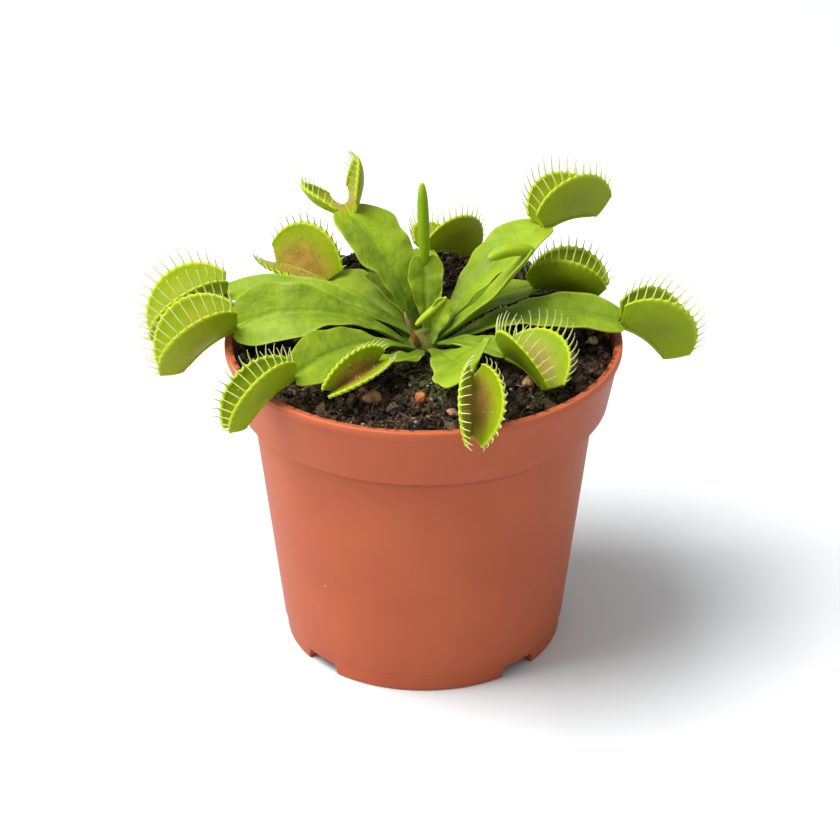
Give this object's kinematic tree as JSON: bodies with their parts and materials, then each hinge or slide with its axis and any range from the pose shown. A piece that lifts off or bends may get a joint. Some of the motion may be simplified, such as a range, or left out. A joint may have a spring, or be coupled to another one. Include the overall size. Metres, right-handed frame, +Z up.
{
  "type": "potted venus flytrap",
  "caption": "Venus flytrap in a terracotta-coloured plastic pot: a rosette of winged leaves that end in two-lobed toothed traps, standing in dark peat.",
  "frame": {"origin": "middle of the whole plant's bounding box, on the surface that the pot stands on; the pot's own axis is 1.3 mm to +X and 5.9 mm to +Y of it", "axes": "+Z up, -Y towards the front of the plant, +X to its right as seen from the front"},
  "size_m": [0.1331, 0.1018, 0.1113],
  "materials": {
    "terracotta_plastic": "satin",
    "peat": "matte",
    "rhizome": "satin",
    "leaf": "satin",
    "dried_leaf": "matte",
    "pebble": "matte"
  },
  "bodies": {
    "root": {"pot": "terracotta_plastic", "soil": "peat", "crown": "rhizome", "old_leaf_base": "dried_leaf", "old_leaf_stalk": "dried_leaf", "leaf_left_low": "leaf", "leaf_left_high": "leaf", "leaf_front_left": "leaf", "leaf_front_left_small": "leaf", "leaf_front": "leaf", "leaf_front_right": "leaf", "leaf_right": "leaf", "leaf_back_right": "leaf", "leaf_right_tall": "leaf", "leaf_back": "leaf", "leaf_back_left": "leaf", "leaf_back_left_tall": "leaf", "leaf_back_left_narrow": "leaf", "leaf_young_upright": "leaf", "leaf_young_folded": "leaf", "leaf_centre_bud": "leaf", "stone_tan": "pebble", "stone_orange": "pebble", "stone_pink": "pebble", "stone_brown": "pebble", "stone_cream": "pebble"}
  },
  "joints": []
}
